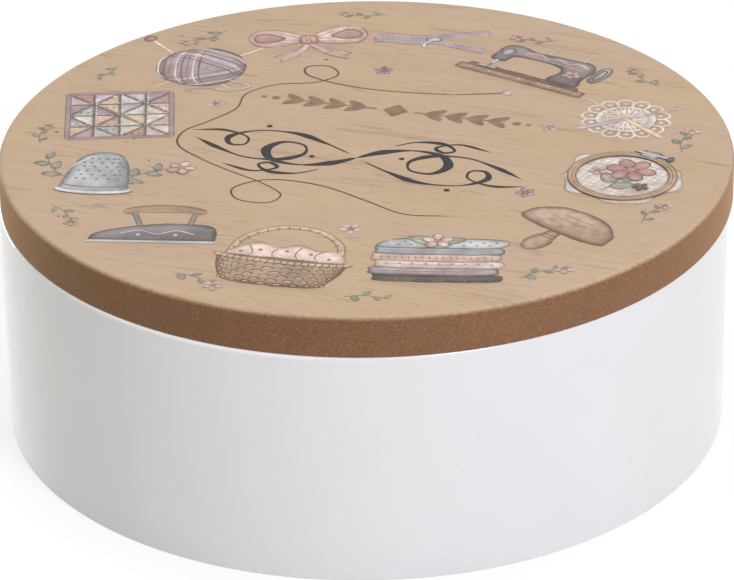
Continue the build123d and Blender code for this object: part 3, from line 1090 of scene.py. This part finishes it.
def small_scatter(art):
    """Sprigs and blossoms between the larger motifs, and small dots strewn among them."""
    for around, radius, turn, length, bloom in (
            (16, 103, 100, 16, 6), (44, 108, 145, 15, 5), (71, 106, -166, 14, 6),
            (106, 107, 200, 14, 5), (137, 106, -120, 16, 6), (162, 107, -104, 13, 0),
            (197, 107, 108, 13, 5), (222, 108, -36, 14, 5), (256, 107, -10, 15, 6),
            (286, 106, 15, 15, 0), (316, 106, 48, 15, 6), (346, 104, 80, 14, 5)):
        art.layer = 0
        tone = SAGE if around % 4 else "8f9a9c"
        sprig(art, *polar(radius, radians(around)), turn, length, 4, bloom, tone)
    for around, radius, size, tone, rim in (
            (32, 62, 7, BLUSH, ROSE), (104, 60, 6.4, LILAC, PLUM), (165, 61, 6.4, BLUSH, ROSE),
            (214, 62, 7, LILAC, PLUM), (285, 60, 7, "e9d6cc", ROSE), (345, 62, 6.4, LILAC, PLUM)):
        art.layer = 0
        blossom(art, *polar(radius, radians(around)), size, tone, rim, 5, around)
    art.layer = 0
    for k in range(40):
        a, radius = rng.uniform(0, tau), rng.uniform(70, 112)
        art.dot(*polar(radius, a), rng.uniform(0.35, 0.8), (TERRA, ROSE, PLUM, GREY)[k % 4], 0.8)


def flourish(art):
    """A dark pen flourish, the same when turned half round."""
    for points, widths in (
            ([(0, 0), (9, 7.5), (21, 12), (33, 10), (38, 1), (33, -7), (24, -6), (22, 2), (30, 9),
              (44, 10.5), (57, 5), (70, -3)], [1.4, 4.4, 1, 2.8, 4.4, 1.6, 1, 3.4, 1.2, 1, 2.8, 0.6]),
            ([(4, -3), (16, -10), (30, -16), (46, -15), (56, -7), (54, 0), (48, -1), (49, -8),
              (60, -12), (73, -9)], [0.7, 1.1, 3.6, 1.2, 0.8, 3.0, 1.2, 1.0, 2.0, 0.5]),
            ([(12, 14), (20, 20), (31, 21), (37, 16), (33, 13), (29, 17), (38, 22), (52, 18)],
             [0.6, 1.0, 2.8, 1.2, 2.0, 0.9, 1.8, 0.5])):
        for turn in (0, 180):
            art.draw(moved(curve(points), turn=turn), widths, PEN, ends=(0.02, 0.05), cover=1.25)
        art.up()
    for x, y, size in ((43, -20, 1.3), (18, 3.4, 1.2)):
        for sign in (1, -1):
            art.dot(sign * x, sign * y, size, PEN, 1.25)


def thread_line(art):
    """A thin loose thread with two loops, and a pearl-headed pin at one end."""
    thread = [(14, 47), (0, 44), (-14, 42.5), (-28, 43.5), (-38, 47), (-40, 53), (-33, 55.5),
              (-28, 50), (-33, 42), (-45, 36), (-52, 26), (-51, 14), (-56, 2), (-61, -8), (-59, -18),
              (-49, -25), (-36, -31), (-23, -36), (-14, -42), (-16, -49), (-26, -49.5), (-30, -42),
              (-21, -33), (-4, -32), (14, -38), (28, -43), (42, -40)]
    widths = [0.6, 0.8, 0.6, 0.75, 0.6, 0.8, 0.6]
    art.line(thread, widths, "4b443c", ends=(0.01, 0.01), cover=1.1).up()
    art.draw([(13, 46.4), (30, 53.4)], [0.5, 0.8, 0.9], SLATE, ends=(0.2, 0)).up()
    art.fill(oval(31, 53.8, 3.6, 3.6), BLUSH, ROSE, (60, CHALK, 0.7))


def fleuron(art):
    """A small brown ornament: a lozenge with leaves and dots to both sides."""
    tone = "85604b"
    art.fill([(-4.4, 0), (0, -5), (4.4, 0), (0, 5)], tone)
    for sign in (1, -1):
        art.draw([(sign * 6.5, 0), (sign * 38, 0)], [1.3, 0.7, 1.3, 0.6], tone, ends=(0, 0.3))
        for k in range(4):
            for tip in (1, -1):
                drop = curve([(0, 0), (2.4, 2.8), (6.6, 4.4), (5.4, 0.8)], True)
                art.fill((drop + (10 + 7.2 * k, 0)) * (sign, tip), tone)
                art.layer -= 1
        art.dot(sign * 41.5, 0, 1.5, tone)
        art.dot(sign * 45.5, 0, 1.0, tone)
    art.up()


# Each motif's angle and radius on the lid in degrees and millimetres, and its turn and size
for name, motif, around, radius, turn, size in (
        ("hoop", embroidery_hoop, 3, 86, -14, 1.02),
        ("hooks", doily_and_hooks, 32, 88, 4, 0.98),
        ("machine", sewing_machine, 66, 84, -14, 0.98),
        ("zip", zip_fastener, 94.6, 88, 8, 0.78),
        ("bow", ribbon_bow, 122.6, 88, 26, 0.89),
        ("yarn", yarn_ball, 151, 85, 12, 1.04),
        ("quilt", quilt_square, 182, 86, 22, 1.0),
        ("thimble", thimble, 211, 88, 14, 1.15),
        ("iron", flat_iron, 241, 87, 16, 0.98),
        ("basket", wicker_basket, 272, 88, 6, 1.04),
        ("cloths", folded_cloths, 304, 87, 16, 1.02),
        ("mushroom", darning_mushroom, 334, 87, -24, 1.1),
        ("sprigs", small_scatter, 0, 0, 0, 1.0),
        ("flourish", flourish, 90, -9, 4, 0.80),
        ("fleuron", fleuron, 90, 29, 4, 1.0),
        ("thread", thread_line, 0, 0, 0, 1.0)):
    art = Artwork("print_" + name, *polar(radius, radians(around)), turn, size)
    motif(art)
    art.piece()

# Solids shown as they are, with their own finish
for node, material in (
        ("base_panel", base_lacquer), ("lid_plug", plug_board), ("plug_screws", zinc_plate)):
    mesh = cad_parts[node].data
    mesh.materials.clear()
    mesh.materials.append(material)
